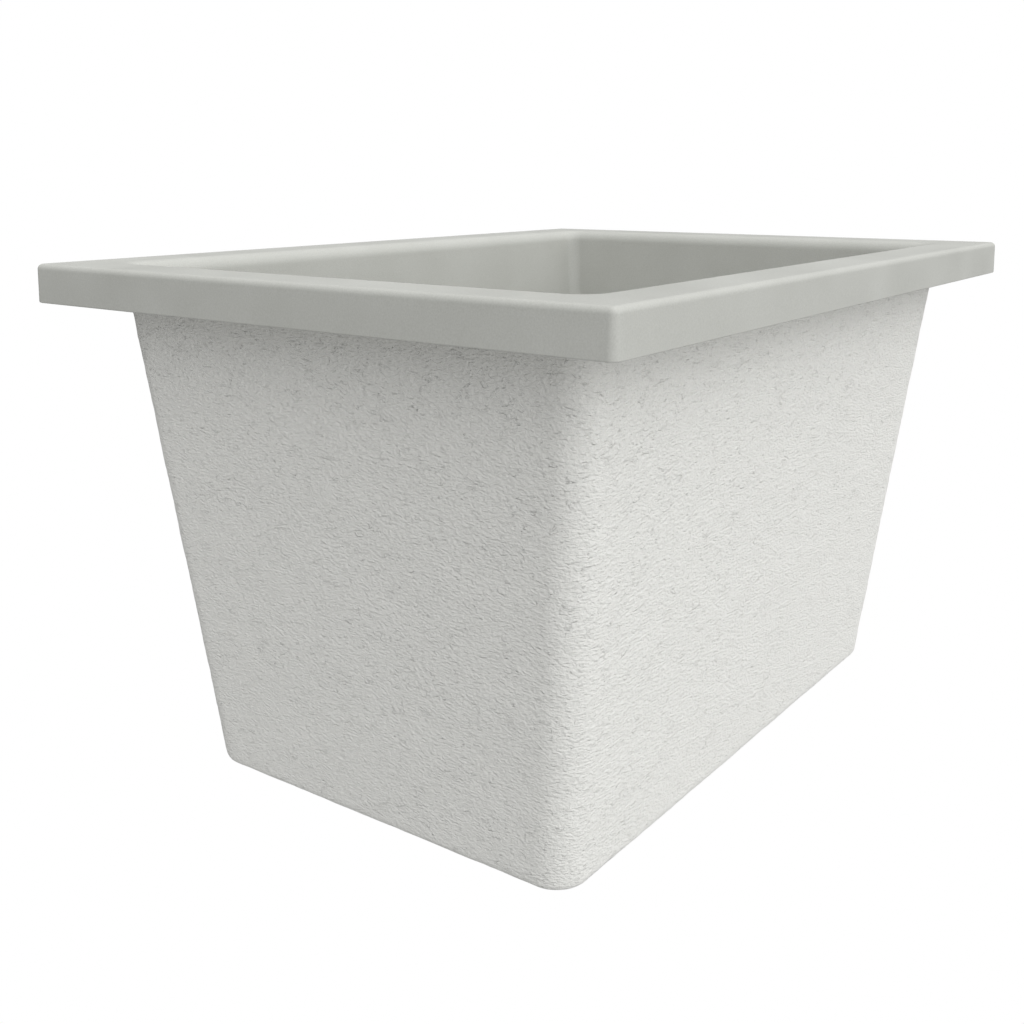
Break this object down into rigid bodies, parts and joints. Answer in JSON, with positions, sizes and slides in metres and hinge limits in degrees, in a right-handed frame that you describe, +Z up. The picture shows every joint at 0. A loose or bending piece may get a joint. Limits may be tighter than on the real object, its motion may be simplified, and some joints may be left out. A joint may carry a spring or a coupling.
{
  "type": "wash tub",
  "caption": "Rectangular tapered wash tub with a down-turned rim that rests on a worktop opening, a rough sprayed backing, and a floor waste with a lift-out strainer basket.",
  "frame": {"origin": "middle of the plane that the bottom edge of the rim's skirt rests on", "axes": "+X along the tub's long side, +Y along its short side, +Z up, out of the bowl"},
  "size_m": [0.635, 0.4572, 0.5242],
  "materials": {
    "moulded_grey": "smooth moulded skin, satin",
    "sprayed_backing": "rough sprayed laminate, matte",
    "stainless_steel": "satin",
    "black_rubber": "moulded, matte",
    "card": "pressed card",
    "cast_zinc": "bare die-cast zinc",
    "nylon": "natural",
    "chrome_plate": "polished",
    "brass": "bare, machined"
  },
  "bodies": {
    "tub": {"basin_liner": "moulded_grey", "backing_layer": "sprayed_backing", "strainer_body": "stainless_steel", "flange_seal": "black_rubber", "underside_gasket": "black_rubber", "friction_washer": "card", "locknut": "cast_zinc", "outlet_crossbar": "stainless_steel", "post_grip_ring": "nylon", "tailpiece_washer": "nylon", "coupling_nut": "chrome_plate", "tailpiece": "chrome_plate"},
    "basket": {"strainer_basket": "stainless_steel", "basket_stopper": "black_rubber", "basket_post": "stainless_steel", "lift_knob": "chrome_plate", "stopper_nut": "brass"}
  },
  "joints": [
    {"name": "basket_lift", "type": "slide", "parent": "tub", "child": "basket", "axis": [0, 0, 1], "range_m": [0, 0.42]}
  ]
}
